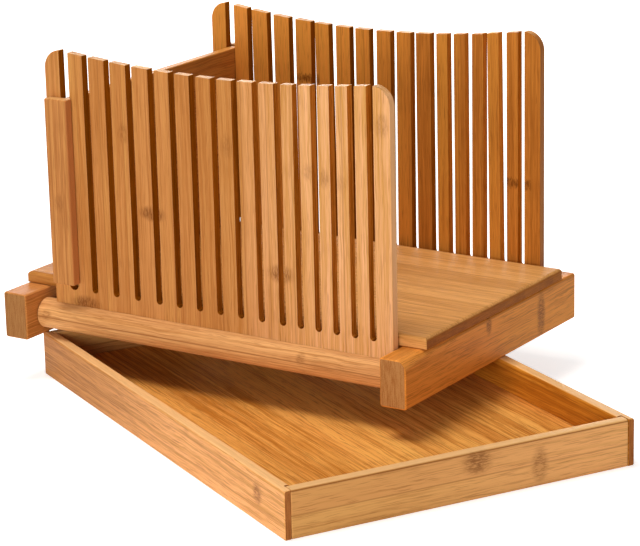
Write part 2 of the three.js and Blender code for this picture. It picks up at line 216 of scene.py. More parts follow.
def bamboo_group():
    tree = bpy.data.node_groups.new("laminated bamboo strips", "ShaderNodeTree")
    for name, kind, value in BAMBOO_INPUTS:
        socket = tree.interface.new_socket(name, in_out="INPUT", socket_type=kind)
        if value is not None:
            socket.default_value = value
    for name, kind in BAMBOO_OUTPUTS:
        tree.interface.new_socket(name, in_out="OUTPUT", socket_type=kind)
    calc = calculator(tree)
    given = add_node(tree, "NodeGroupInput").outputs
    across, through, along = add_node(tree, "ShaderNodeSeparateXYZ", {0: given["Place"]}).outputs

    def ramp(value, low, high):
        inputs = {"Value": value, "From Min": low, "From Max": high}
        return add_node(tree, "ShaderNodeMapRange", inputs, interpolation_type="SMOOTHSTEP").outputs[0]

    def noise(grain, seat=across):
        """Noise with a grain size of its own across the fibres and along them."""
        sideways, lengthways, detail = GRAINS[grain]
        stretched = add_node(tree, "ShaderNodeCombineXYZ", {
            0: calc("MULTIPLY", seat, sideways),
            1: calc("MULTIPLY_ADD", through, sideways, given["Seed"]),
            2: calc("MULTIPLY", along, lengthways),
        })
        inputs = {"Vector": stretched.outputs[0], "Scale": 1.0, "Detail": detail, "Roughness": 0.6}
        return add_node(tree, "ShaderNodeTexNoise", inputs).outputs["Fac"]

    def mix(share, first, second):
        inputs = {"Factor": share, "A": first, "B": second}
        return add_node(tree, "ShaderNodeMix", inputs, data_type="RGBA").outputs["Result"]

    def swing(value, reach):
        """Spreads a value that lies about a half to both sides of zero."""
        return calc("MULTIPLY", calc("SUBTRACT", value, 0.5), reach)

    # Which strip a point lies in, and three random numbers for that strip
    layer = calc("FLOOR", calc("DIVIDE", through, given["Strip depth"]))
    shift = calc("MULTIPLY_ADD", layer, LAYER_STEP, given["Seed"])
    shift = calc("FRACT", calc("MULTIPLY", shift, LAYER_SPREAD))
    shift = calc("ADD", shift, given["Strip shift"])
    strip_place = calc("ADD", calc("DIVIDE", across, given["Strip width"]), shift)
    strip = calc("FLOOR", strip_place)
    strip_key = add_node(tree, "ShaderNodeCombineXYZ", {0: strip, 1: layer, 2: given["Seed"]}).outputs[0]
    chance = add_node(tree, "ShaderNodeTexWhiteNoise", {"Vector": strip_key}).outputs
    three_chances = add_node(tree, "ShaderNodeSeparateColor", {0: chance["Color"]}).outputs
    hue_chance, joint_chance, tone_chance = three_chances

    # Fibres wander a little, and each strip's pattern starts at another place
    drift = calc("MULTIPLY_ADD", noise("wander"), WANDER, across)
    drift = calc("MULTIPLY_ADD", noise("ripple"), RIPPLE, drift)
    own_seat = calc("MULTIPLY_ADD", chance["Value"], PATTERN_REACH, drift)
    broad = noise("broad", own_seat)
    streak = noise("streak", own_seat)
    fine = noise("fine", own_seat)
    dash = noise("dash", own_seat)
    cloud = noise("cloud")
    plies = noise("plies", calc("MULTIPLY", across, PLY_STRETCH))

    # A joint of the stalk: a band across the strip, drawn in short strokes along the fibres
    stroke = ramp(noise("stroke"), *STROKE_FADE)
    half_spacing = calc("MULTIPLY", given["Joint spacing"], 0.5)
    joint_place = calc("MULTIPLY_ADD", hue_chance, given["Joint spacing"], along)
    from_joint = calc("SUBTRACT", calc("FLOORED_MODULO", joint_place, given["Joint spacing"]), half_spacing)
    from_joint = calc("ABSOLUTE", calc("ADD", from_joint, swing(noise("ragged"), JOINT_RAGGED)))
    has_joint = calc("LESS_THAN", joint_chance, given["Joint share"])
    joint = calc("MULTIPLY", ramp(from_joint, JOINT_FADE, JOINT_FULL), has_joint)
    joint = calc("MAXIMUM", joint, given["Mark"])
    joint = calc("MULTIPLY", joint, calc("MULTIPLY_ADD", stroke, 0.65, 0.4), use_clamp=True)

    # The glue line between two strips shows here and there as a dark hairline
    from_edge = calc("SUBTRACT", 0.5, calc("ABSOLUTE", calc("SUBTRACT", calc("FRACT", strip_place), 0.5)))
    line_width = calc("DIVIDE", GLUE_LINE, given["Strip width"])
    glue = calc("MULTIPLY", calc("MULTIPLY_ADD", tone_chance, 0.6, 0.4), given["Glue lines"])
    glue = calc("MULTIPLY", ramp(from_edge, line_width, 0.0), glue)

    # Colour: the strip's own hue and tone, then its bands and streaks
    hue = mix(calc("ADD", hue_chance, swing(broad, HUE_SWING)), given["Golden"], given["Rosy"])
    grain_shade = calc("ADD", swing(streak, STREAK_SWING), swing(fine, FINE_SWING))
    grain_shade = calc("ADD", swing(broad, BROAD_SWING), grain_shade)
    shade = calc("MULTIPLY_ADD", grain_shade, given["Streaks"], MIDDLE_SHADE)
    shade = calc("ADD", shade, swing(tone_chance, given["Strip contrast"]))
    shade = calc("ADD", shade, swing(cloud, CLOUD_SWING), use_clamp=True)
    hue = mix(given["Paleness"], hue, given["Pale"])
    deep = mix(given["Paleness"], given["Deep"], given["Golden"])
    body = mix(shade, hue, deep)

    # Over it lies the darkest of the fibres, the glue lines and the joints, and a joint's own tone
    dark = calc("MULTIPLY", ramp(dash, *DASH_FADE), given["Dashes"])
    fine_dark = calc("MULTIPLY", ramp(fine, *FINE_FADE), calc("MULTIPLY", given["Dashes"], 0.6))
    dark = calc("MAXIMUM", dark, fine_dark)
    dark = calc("MAXIMUM", dark, glue)
    dark = calc("MAXIMUM", dark, calc("MULTIPLY", joint, 0.9))
    grain = mix(calc("MULTIPLY", joint, 0.25), mix(dark, body, given["Fibre"]), given["Joint"])

    # A side face takes a tone that is painted light: a painted highlight on some boards and painted
    # shade on others. An end, where the fibres stand upright, shows their pores
    facing = add_node(tree, "ShaderNodeSeparateXYZ", {0: given["Facing"]}).outputs
    painted_light = calc("MULTIPLY", ramp(calc("ABSOLUTE", facing[0]), *SIDE_FADE), given["Sawn side share"])
    sided = mix(painted_light, grain, given["Sawn side"])
    pores = calc("MULTIPLY_ADD", ramp(fine, *PORE_FADE), 0.3, calc("MULTIPLY", tone_chance, 0.35))
    pores = calc("ADD", pores, swing(plies, PLY_SWING), use_clamp=True)
    end_tone = mix(pores, given["End grain"], given["Fibre"])
    colour = mix(ramp(calc("ABSOLUTE", facing[2]), *END_FADE), sided, end_tone)

    roughness = calc("MULTIPLY_ADD", streak, STREAK_POLISH, ROUGHEST)
    height = calc("MULTIPLY_ADD", fine, 0.5, calc("MULTIPLY", streak, 0.6))
    height = calc("SUBTRACT", height, calc("MULTIPLY", dark, 0.8))
    add_node(tree, "NodeGroupOutput", {"Color": colour, "Roughness": roughness, "Height": height})
    return tree


BAMBOO = bamboo_group()
print("bamboo group:", len(BAMBOO.nodes), "nodes")

# %% [markdown]
# Each board uses the group its own way: which way its fibres run, how wide its strips are, how
# deep its tone is, and where its most visible stalk joints lie. A turn for the Mapping node brings
# the fibres onto Z and the strips' depth onto Y. The bump of the fibres is a few hundredths of a
# millimetre, and the roughness stays near a half.

# %% Function for a bamboo finish
BAMBOO_IOR = 1.45

# The height of the fibres' relief in millimetres, and how strongly it counts
FIBRE_BUMP, BUMP_STRENGTH = 0.04, 0.4

# Which inputs of the group take a board's five tones
TONE_INPUTS = ("Golden", "Rosy", "Deep", "Fibre", "End grain")

# A stalk joint goes through the whole board, so a mark is far deeper than it is wide
MARK_HALF_DEPTH = 50


def grain_turn(along, through):
    """The turn that carries the fibres' direction onto Z and the strips' depth onto Y."""
    return Matrix((through.cross(along), through, along)).to_euler()


def stalk_marks(tree, place, turn, marks):
    """Soft spots at the given places, each with its half width, half length and strength."""
    calc = calculator(tree)
    total = 0.0
    for x, y, z, half_width, half_length, strength in marks:
        centre = turn.to_matrix() @ Vector((x, y, z))
        off = add_node(tree, "ShaderNodeVectorMath", {0: place, 1: centre}, operation="SUBTRACT").outputs[0]
        scale = (1 / half_width, 1 / MARK_HALF_DEPTH, 1 / half_length)
        share = add_node(tree, "ShaderNodeVectorMath", {0: off, 1: scale}, operation="MULTIPLY").outputs[0]
        far = add_node(tree, "ShaderNodeVectorMath", {0: share}, operation="LENGTH").outputs["Value"]
        fading = {"Value": far, "From Min": 1.0, "From Max": 0.3, "To Max": strength}
        spot = add_node(tree, "ShaderNodeMapRange", fading, interpolation_type="SMOOTHSTEP").outputs[0]
        total = calc("MAXIMUM", total, spot)
    return total


def bamboo(name, along, through, strip, seed, tones, marks=(), gloss=0.12, pale_between=None, **group_values):
    """A bamboo finish for one board.

    The strip's width and depth are in millimetres, and so are the two places along the guide
    between which the board turns paler. The tones come in the order of TONE_INPUTS.
    """
    material, tree = new_material(name)
    turn = grain_turn(along, through)
    coordinates = add_node(tree, "ShaderNodeTexCoord").outputs

    def turned(vector):
        return add_node(tree, "ShaderNodeMapping", {"Vector": vector, "Rotation": turn}).outputs[0]

    metres = {0: turned(coordinates["Object"]), "Scale": 1 / MM}
    place = add_node(tree, "ShaderNodeVectorMath", metres, operation="SCALE").outputs[0]
    inputs = {
        "Place": place, "Facing": turned(coordinates["Normal"]), "Seed": seed,
        "Strip width": strip[0], "Strip depth": strip[1],
    }
    if marks:
        inputs["Mark"] = stalk_marks(tree, place, turn, marks)
    if pale_between:
        start, end = pale_between
        sideways = add_node(tree, "ShaderNodeSeparateXYZ", {0: coordinates["Object"]}).outputs[0]
        limits = {"Value": sideways, "From Min": start * MM, "From Max": end * MM}
        paleness = add_node(tree, "ShaderNodeMapRange", limits, interpolation_type="SMOOTHSTEP")
        inputs["Paleness"] = paleness.outputs[0]
    inputs.update(zip(TONE_INPUTS, map(linear, tones)))
    inputs.update((name.replace("_", " ").capitalize(), value) for name, value in group_values.items())
    group = add_node(tree, "ShaderNodeGroup", inputs, node_tree=BAMBOO).outputs
    relief = {"Height": group["Height"], "Strength": BUMP_STRENGTH, "Distance": FIBRE_BUMP * MM}
    shader = add_node(tree, "ShaderNodeBsdfPrincipled", {
        "Base Color": group["Color"],
        "Roughness": group["Roughness"],
        "Normal": add_node(tree, "ShaderNodeBump", relief).outputs[0],
        "IOR": BAMBOO_IOR,
        "Specular IOR Level": gloss,
    })
    add_node(tree, "ShaderNodeOutputMaterial", {"Surface": shader.outputs[0]})
    return material


# %% [markdown]
# The tray is turned under the guide, so its grain follows its own two directions. No two boards
# come from the same stalks, so each has tones of its own: the front panel turns paler to the
# right, the rear panel is deeper, and the tray's floor is the most amber. Some tones are painted
# light and shade instead: the slots' faces are the darkest, as painted shade deep in the slots;
# the rear panel turns paler to the left, as painted light where the front panel shades it; the
# tray's near wall is darker to the left, as painted shade below the guide; the front panel's ends
# and arrises and the tray's rims are pale, as painted highlights; and the rear panel's and the
# battens' sides are darker, as painted shade.

# %% Bamboo finishes
X_AXIS, Y_AXIS, Z_AXIS = Vector((1, 0, 0)), Vector((0, 1, 0)), Vector((0, 0, 1))
TRAY_SKEW = math.radians(-29.1)
TRAY_LONG = Vector((math.cos(TRAY_SKEW), math.sin(TRAY_SKEW), 0))
TRAY_SHORT = Vector((-math.sin(TRAY_SKEW), math.cos(TRAY_SKEW), 0))

# Width and depth in millimetres of the strips that more than one finish uses
PANEL_STRIP, RAIL_STRIP, TRAY_STRIP = (19.5, 7.0), (40.0, 6.5), (15.5, 9.0)

# Stalk joints that stand out: place in millimetres, half width, half length, strength. Those of
# the front panel all lie in its front face.
FRONT_FACE_Y = -22.8
FRONT_PANEL_MARKS = tuple((x, FRONT_FACE_Y, z, *shape) for x, z, *shape in (
    (-134, 186, 5, 11, 0.45), (-112, 132, 14, 7, 1.0), (-48, 186, 7, 12, 0.35),
    (15.4, 176, 6, 8, 0.3), (27.7, 173, 6, 9, 0.4), (41, 171, 6, 8, 0.3),
    (72, 213, 7, 11, 0.4), (-172, 60, 17, 7, 1.0), (-8, 104, 14, 8, 0.8),
))
BATTEN_MARKS = ((-185.8, -30.8, 132, 6, 9, 0.35),)
ROD_MARKS = ((-203, -30.5, 49, 5, 6, 0.6), (10.6, -30.5, 50, 6, 5, 0.5))
RAIL_MARKS = ((98.6, 66.8, 60, 9, 5, 0.85), (98.6, 140, 48, 22, 7.5, 0.9))
SHORT_WALL_MARKS = ((175, -83, 25, 12, 14, 0.75), (197, -43.5, 14, 15, 8, 0.6))
NEAR_WALL_MARKS = ((78.6, -182.6, 19, 10, 8, 0.7),)

# Its pale side tone is a painted highlight on the panel's ends and on the arrises beside the slots.
front_panel_bamboo = bamboo(
    "bamboo panel board, pale strips upright", Z_AXIS, Y_AXIS, PANEL_STRIP, 3.0,
    ("#ca8e46", "#c68448", "#ae6c30", "#824817", "#dca362"), FRONT_PANEL_MARKS,
    pale_between=(-75, 35), sawn_side=linear("#fcbe84"), sawn_side_share=0.6, joint_share=0.0, dashes=0.3,
)
# It turns paler to the left: painted light where the front panel shades it. Its side tone is painted shade on
# its ends and arrises.
rear_panel_bamboo = bamboo(
    "bamboo panel board, deep strips upright", Z_AXIS, Y_AXIS, PANEL_STRIP, 11.0,
    ("#d08834", "#c97b2e", "#a6601f", "#7b430e", "#dc9c56"),
    pale_between=(0, -90), pale=linear("#de8c38"), sawn_side_share=0.3, joint_share=0.1, dashes=0.4,
)
# Painted shade: the slots' walls and bottoms are dark for the shade deep inside them, lighter to the right.
slot_painted_shade = bamboo(
    "bamboo slot faces, painted shade", Z_AXIS, Y_AXIS, PANEL_STRIP, 13.0,
    ("#aa5c0c", "#a05408", "#844606", "#5a2c04", "#8a4a10"),
    gloss=0.0, pale_between=(-95, 60), pale=linear("#e08c34"), joint_share=0.0, dashes=0.4,
)
left_rail_bamboo = bamboo(
    "bamboo left rail, strips on edge", Y_AXIS, X_AXIS, RAIL_STRIP, 5.0,
    ("#d08c48", "#ca8144", "#aa6a2c", "#7e4618", "#a06e3c"), dashes=0.4,
)
right_rail_bamboo = bamboo(
    "bamboo right rail, strips on edge", Y_AXIS, X_AXIS, RAIL_STRIP, 15.0,
    ("#ee9a40", "#e6903c", "#c87828", "#8a4a14", "#b27e48"), RAIL_MARKS, dashes=0.45, joint_share=0.0,
)
rod_bamboo = bamboo(
    "turned bamboo rod", X_AXIS, Y_AXIS, (14.0, 60.0), 2.0,
    ("#dda264", "#d79a64", "#b87a42", "#84491c", "#a66f3c"), ROD_MARKS,
    strip_shift=0.283, dashes=0.4, glue_lines=1.0, strip_contrast=1.0, joint_share=0.0,
)
deck_bamboo = bamboo(
    "bamboo cutting deck", X_AXIS, Z_AXIS, (20.0, 9.0), 8.0,
    ("#c08240", "#b8783a", "#9a5e26", "#804614", "#ac641e"), gloss=0.06,
    pale_between=(-160, 60), pale=linear("#dea05c"), dashes=0.35, joint_share=0.0,
)
end_board_bamboo = bamboo(
    "bamboo end board", Y_AXIS, X_AXIS, (21.0, 7.0), 9.0,
    ("#cc883c", "#c67c38", "#a86426", "#774214", "#6e4822"), dashes=0.4,
)
# Its side tone is painted shade on the batten's sides.
batten_bamboo = bamboo(
    "bamboo batten", Z_AXIS, Y_AXIS, (8.6, 8.0), 4.0,
    ("#c68848", "#c27e46", "#a4642e", "#7a431a", "#dca362"), BATTEN_MARKS,
    sawn_side=linear("#bc7440"), sawn_side_share=0.7, joint_share=0.0, dashes=0.3,
)
# The pale tone on the tray walls' rims is a painted highlight, for the light they catch from above.
RIM_PAINTED_HIGHLIGHT = linear("#f2c286")
# The near wall turns darker to the left: painted shade below the guide.
tray_wall_bamboo = bamboo(
    "bamboo tray near wall", TRAY_LONG, TRAY_SHORT, TRAY_STRIP, 6.0,
    ("#c88a46", "#c28042", "#a06428", "#7e4418", "#a0602c"), NEAR_WALL_MARKS,
    pale_between=(-160, 0), pale=linear("#eda868"), streaks=1.6,
    dashes=0.4, joint_share=0.1, sawn_side=RIM_PAINTED_HIGHLIGHT, sawn_side_share=0.6,
)
far_wall_bamboo = bamboo(
    "bamboo tray far wall", TRAY_LONG, TRAY_SHORT, TRAY_STRIP, 16.0,
    ("#d48e30", "#ca7e26", "#a86014", "#7c400c", "#a0602c"), streaks=1.3,
    dashes=0.4, joint_share=0.1, sawn_side=RIM_PAINTED_HIGHLIGHT, sawn_side_share=0.7,
)
tray_end_bamboo = bamboo(
    "bamboo tray end wall", TRAY_SHORT, TRAY_LONG, TRAY_STRIP, 7.0,
    ("#d09855", "#ca8e50", "#ad7237", "#764016", "#96602e"), SHORT_WALL_MARKS,
    pale_between=(120, 250), pale=linear("#e9a868"), glue_lines=1.0, strip_contrast=0.9,
    dashes=0.35, joint_share=0.0, sawn_side=RIM_PAINTED_HIGHLIGHT, sawn_side_share=0.6,
)
tray_floor_bamboo = bamboo(
    "bamboo tray floor", TRAY_LONG, Z_AXIS, (21.0, 6.0), 10.0,
    ("#f0ac54", "#e89e4c", "#c07426", "#7c400a", "#96602e"), streaks=1.3, dashes=0.45, joint_share=0.0,
)
print("finishes so far:", [material.name for material in bpy.data.materials])

# %% [markdown]
# ## Steel
#
# The hinge pins and deck screws are bright zinc-plated steel: a metal with a soft, slightly uneven
# sheen from plating in a barrel. An even grey would look like paint, so a cloudy noise shifts both
# its tone and its roughness a little.

# %% Steel finish
# The plating's clouds are about a millimetre wide
CLOUDS_PER_METRE = 900.0


def plated_steel():
    material, tree = new_material("bright zinc-plated steel")
    coordinates = add_node(tree, "ShaderNodeTexCoord").outputs
    clouds = {"Vector": coordinates["Object"], "Scale": CLOUDS_PER_METRE, "Detail": 3.0}
    cloud = add_node(tree, "ShaderNodeTexNoise", clouds).outputs["Fac"]
    tones = {"Factor": cloud, "A": linear("#a9abae"), "B": linear("#c9cbcc")}
    sheens = {"Value": cloud, "To Min": 0.26, "To Max": 0.42}
    shader = add_node(tree, "ShaderNodeBsdfPrincipled", {
        "Base Color": add_node(tree, "ShaderNodeMix", tones, data_type="RGBA").outputs["Result"],
        "Roughness": add_node(tree, "ShaderNodeMapRange", sheens).outputs[0],
        "Metallic": 1.0,
    })
    add_node(tree, "ShaderNodeOutputMaterial", {"Surface": shader.outputs[0]})
    return material


steel = plated_steel()

# %% [markdown]
# ## Soft arrises
#
# No real board has a knife-sharp edge: planing and sanding leave a radius of a few tenths of a
# millimetre, and it is those radii that catch the light. The measured solids are loose triangles,
# so each one is first welded and its flat areas merged, and then its sharp edges are rounded.
# Weighted normals keep the flat faces flat beside the small rounds. Modifiers do all of it, so the
# measured meshes themselves stay as they are.

# %% Function that rounds a piece's edges
def smooth_faces_tree():
    tree = bpy.data.node_groups.new("smooth faces", "GeometryNodeTree")
    tree.interface.new_socket("Geometry", in_out="INPUT", socket_type="NodeSocketGeometry")
    tree.interface.new_socket("Geometry", in_out="OUTPUT", socket_type="NodeSocketGeometry")
    given = add_node(tree, "NodeGroupInput").outputs
    smooth = add_node(tree, "GeometryNodeSetShadeSmooth", {"Geometry": given[0], "Shade Smooth": True})
    add_node(tree, "NodeGroupOutput", {0: smooth.outputs[0]})
    return tree


SMOOTH_FACES = smooth_faces_tree()

# Points this close become one, faces this near to one plane merge, and edges from here are rounded
WELD_WITHIN = 0.002 * MM
FLAT_WITHIN = math.radians(0.5)
SHARP_FROM = math.radians(35)

# The highest weight, at which the largest face decides the normals at its corners
LARGE_FACES_RULE = 100

# Radii of the edges: of pins, screws and the tray, of the guide's boards, and of the slats
FINE_EDGE, BOARD_EDGE, SLAT_EDGE = 0.12 * MM, 0.35 * MM, 0.7 * MM


def soften(piece, radius, steps=2):
    weld = piece.modifiers.new("weld", "WELD")
    weld.merge_threshold = WELD_WITHIN
    flatten = piece.modifiers.new("merge flat areas", "DECIMATE")
    flatten.decimate_type = "DISSOLVE"
    flatten.angle_limit = FLAT_WITHIN
    bevel = piece.modifiers.new("round edges", "BEVEL")
    bevel.width = radius
    bevel.segments = steps
    bevel.limit_method = "ANGLE"
    bevel.angle_limit = SHARP_FROM
    smooth = piece.modifiers.new("smooth", "NODES")
    smooth.node_group = SMOOTH_FACES
    weighted = piece.modifiers.new("weighted normals", "WEIGHTED_NORMAL")
    weighted.mode = "FACE_AREA"
    weighted.weight = LARGE_FACES_RULE


# %% [markdown]
# ## The slotted panels
#
# Each panel is one board, sawn into a comb from its top edge: first a wide slot for the end board,
# then fifteen knife slots in three spacings. Its shape follows a rule, so it is built with Geometry
# Nodes. A grid of two rows gives the face: its upper row is lifted to the hollowed top edge, which
# turns down in a quarter round at both ends. The face is extruded to a board. One blade-shaped
# cutter is made from a cylinder, with its upper half drawn up past the top edge, and copied to each
# slot, and a Boolean cuts them all. Half a step of turn on the cylinder makes its sides upright.

# %% Panel tree
PANEL_SIZES = {
    "Width": 277.0, "Thickness": 6.0, "Foot": 19.3, "Middle height": 198.5, "Top rise": 7.4,
    "Corner round": 13.0, "Slot bottom": 36.3, "Slot width": 5.1, "Board slot width": 7.6,
    "Corner slat": 12.5, "Board slat": 12.1, "Thick pitch": 18.4, "Medium pitch": 16.9, "Thin pitch": 14.1,
}
KNIFE_STEPS = (("Thick pitch", 3), ("Medium pitch", 6), ("Thin pitch", 5))
FACE_COLUMNS = 97
MERGE_WITHIN = 0.001 * MM

# The cutter is this many times as deep as the board, and reaches up this many half slot widths
CUTTER_SIDES, CUTTER_DEPTH, CUTTER_REACH = 24, 3.0, 100


def panel_tree(finish):
    tree = bpy.data.node_groups.new("slotted panel", "GeometryNodeTree")
    for name, size in PANEL_SIZES.items():
        socket = tree.interface.new_socket(name, in_out="INPUT", socket_type="NodeSocketFloat")
        socket.default_value = size * MM
    tree.interface.new_socket("Corner", in_out="INPUT", socket_type="NodeSocketVector")
    tree.interface.new_socket("Geometry", in_out="OUTPUT", socket_type="NodeSocketGeometry")
    given = add_node(tree, "NodeGroupInput").outputs
    calc = calculator(tree)

    def geometry(kind, inputs, **options):
        return add_node(tree, f"GeometryNode{kind}", inputs, **options).outputs[0]

    def vector(x, y, z):
        return add_node(tree, "ShaderNodeCombineXYZ", {0: x, 1: y, 2: z}).outputs[0]

    def point():
        """The three coordinates of each point."""
        whole = add_node(tree, "GeometryNodeInputPosition").outputs[0]
        return add_node(tree, "ShaderNodeSeparateXYZ", {0: whole}).outputs

    def square(value):
        return calc("MULTIPLY", value, value)

    # The face: columns crowd towards both ends, where the top edge turns down
    face = geometry("MeshGrid", {"Size X": 1.0, "Size Y": 1.0, "Vertices X": FACE_COLUMNS, "Vertices Y": 2})
    seat = point()
    column = calc("ADD", seat[0], 0.5)
    row = calc("ADD", seat[1], 0.5)
    half_width = calc("MULTIPLY", given["Width"], 0.5)
    swing = calc("COSINE", calc("MULTIPLY", column, math.pi))
    x = calc("MULTIPLY", half_width, calc("SUBTRACT", 1.0, swing))

    # The top edge: an arc that is lowest in the middle, and a quarter round at each end
    rise = given["Top rise"]
    corner = given["Corner round"]
    arc_end = calc("SUBTRACT", half_width, corner)
    from_middle = calc("MULTIPLY", half_width, calc("ABSOLUTE", swing))
    on_arc = calc("MINIMUM", from_middle, arc_end)
    arc_radius = calc("ADD", square(arc_end), square(rise))
    arc_radius = calc("DIVIDE", arc_radius, calc("MULTIPLY", rise, 2.0))
    arc_height = calc("SQRT", calc("SUBTRACT", square(arc_radius), square(on_arc)))
    past_arc = calc("SUBTRACT", from_middle, on_arc)
    turn_down = calc("SQRT", calc("SUBTRACT", square(corner), square(past_arc)))
    turn_down = calc("SUBTRACT", turn_down, corner)
    top = calc("ADD", given["Middle height"], turn_down)
    top = calc("ADD", top, calc("SUBTRACT", arc_radius, arc_height))
    z = calc("MULTIPLY_ADD", calc("SUBTRACT", top, given["Foot"]), row, given["Foot"])
    face = geometry("SetPosition", {"Geometry": face, "Position": vector(x, 0.0, z)})

    # The board: the face, and its flipped copy drawn out to the back
    flipped = geometry("FlipFaces", {"Mesh": face})
    back = {"Mesh": flipped, "Offset Scale": given["Thickness"], "Individual": False}
    board = add_node(tree, "GeometryNodeJoinGeometry", {0: face})
    tree.links.new(geometry("ExtrudeMesh", back), board.inputs[0])
    board = geometry("MergeByDistance", {"Geometry": board.outputs[0], "Distance": MERGE_WITHIN})

    # Slot places: the end board's slot is number 0, and knife slots at the three pitches follow
    number = add_node(tree, "GeometryNodeInputIndex").outputs[0]
    is_knife = calc("GREATER_THAN", number, 0.5)
    half_board_slot = calc("MULTIPLY", given["Board slot width"], 0.5)
    half_slot = calc("MULTIPLY", given["Slot width"], 0.5)
    first_knife = calc("ADD", calc("ADD", half_board_slot, given["Board slat"]), half_slot)
    slot_x = calc("ADD", given["Corner slat"], half_board_slot)
    slot_x = calc("MULTIPLY_ADD", is_knife, first_knife, slot_x)
    placed = 1
    for pitch, steps in KNIFE_STEPS:
        past = calc("MAXIMUM", calc("SUBTRACT", number, placed), 0.0)
        slot_x = calc("MULTIPLY_ADD", calc("MINIMUM", past, steps), given[pitch], slot_x)
        placed += steps
    slot_half = calc("MULTIPLY_ADD", is_knife, calc("SUBTRACT", half_slot, half_board_slot), half_board_slot)
    slot_y = calc("MULTIPLY", given["Thickness"], 0.5)
    slot_z = calc("ADD", given["Slot bottom"], slot_half)
    slots = geometry("MeshLine", {"Count": placed + 1})
    slots = geometry("SetPosition", {"Geometry": slots, "Position": vector(slot_x, slot_y, slot_z)})

    # The cutter, in units of the slot's half width, and its copies
    half_step = math.pi / CUTTER_SIDES
    outer_radius = 1 / math.cos(half_step)
    cutter = geometry("MeshCylinder", {"Vertices": CUTTER_SIDES, "Radius": outer_radius, "Depth": 1.0})
    cutter = geometry("Transform", {"Geometry": cutter, "Rotation": (math.pi / 2, half_step, 0)})
    heights = {"A": point()[2], "B": 0.0}
    is_upper = add_node(tree, "FunctionNodeCompare", heights, data_type="FLOAT", operation="GREATER_THAN")
    lift = {"Geometry": cutter, "Selection": is_upper.outputs[0], "Offset": (0, 0, CUTTER_REACH)}
    cutter = geometry("SetPosition", lift)
    depth = calc("MULTIPLY", given["Thickness"], CUTTER_DEPTH)
    scale = vector(slot_half, depth, slot_half)
    cutters = geometry("InstanceOnPoints", {"Points": slots, "Instance": cutter, "Scale": scale})
    cutters = geometry("RealizeInstances", {"Geometry": cutters})

    comb = geometry("MeshBoolean", {"Mesh 1": board, "Mesh 2": cutters}, operation="DIFFERENCE")
    comb = geometry("Transform", {"Geometry": comb, "Translation": given["Corner"]})
    comb = geometry("RealizeInstances", {"Geometry": comb})
    comb = geometry("SetMaterial", {"Geometry": comb, "Material": finish})
    add_node(tree, "NodeGroupOutput", {0: comb})
    return tree


# %% [markdown]
# The slats are free at the top, and wood never stays quite straight once it is sawn free. The rear
# panel's slats lean sideways by up to about a millimetre, each its own way, which is why some of
# its slots show more light than others, and the front panel's by up to a third of that. The slats
# beside the end board stay straight. The slots' walls and bottoms get a darker finish of their
# own, which is painted shade for the shade deep inside the narrow slots.

# %% Build the two panels
GUIDE_LIFT = 32.1
REAR_TOP = {"Middle height": 196.3, "Top rise": 9.6}
PANEL_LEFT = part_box("front_slotted_panel")[0].x / MM

# Left wall of each slot, from the panel's left end
slot_starts = [PANEL_SIZES["Corner slat"]]
slot_starts.append(slot_starts[0] + PANEL_SIZES["Board slot width"] + PANEL_SIZES["Board slat"])
for pitch, steps in KNIFE_STEPS:
    for _ in range(steps):
        slot_starts.append(slot_starts[-1] + PANEL_SIZES[pitch])

# How far each slat's top leans to the right, in millimetres, from the end board to the open end
REAR_LEANS = (0.0, 0.0, -1.1, -0.3, 0.5, -0.9, 0.1, -0.1, 0.9, 0.8, 0.0, -0.1, 0.0, 0.7, -1.1, 0.2, 0.3)
FRONT_LEANS = (0.0, 0.0, 0.1, -0.2, -0.2, 0.1, -0.1, 0.2, 0.1, -0.3, -0.3, 0.1, 0.1, 0.1, 0.0, 0.2, 0.1)
LEAN_CURVE = 1.3

# Millimetres from a slot's left wall to its middle, and how far its walls and rounded bottom reach
SLOT_MIDDLE, WALL_SPREAD, BOTTOM_SPREAD = 2.5, 0.5, 5

# How squarely a sawn wall faces sideways, and a slot's bottom upwards
WALL_FACING, BOTTOM_FACING = 0.75, 0.3


def lean_slats(mesh, leans):
    """Moves each slat's top sideways, from nothing at the slots' bottom, in a slight curve."""
    bottom = PANEL_SIZES["Slot bottom"] + GUIDE_LIFT
    reach = PANEL_SIZES["Middle height"] - PANEL_SIZES["Slot bottom"]
    for vertex in mesh.vertices:
        across = vertex.co.x / MM - PANEL_LEFT
        share = max(0.0, (vertex.co.z / MM - bottom) / reach)
        slat = sum(across > start + SLOT_MIDDLE for start in slot_starts)
        vertex.co.x += leans[slat] * share ** LEAN_CURVE * MM


def paint_slot_shade(mesh):
    """Gives the slots' walls and bottoms their finish of painted shade, but not the panel's two ends."""
    first_wall = slot_starts[0] - WALL_SPREAD
    last_wall = slot_starts[-1] + PANEL_SIZES["Slot width"] + WALL_SPREAD
    highest_bottom = GUIDE_LIFT + PANEL_SIZES["Slot bottom"] + BOTTOM_SPREAD
    painted_light = len(mesh.materials)
    mesh.materials.append(slot_painted_shade)
    for face in mesh.polygons:
        across = face.center.x / MM - PANEL_LEFT
        in_slots = first_wall < across < last_wall
        is_wall = abs(face.normal.x) > WALL_FACING
        is_bottom = face.normal.z > BOTTOM_FACING and face.center.z / MM < highest_bottom
        if in_slots and (is_wall or is_bottom):
            face.material_index = painted_light


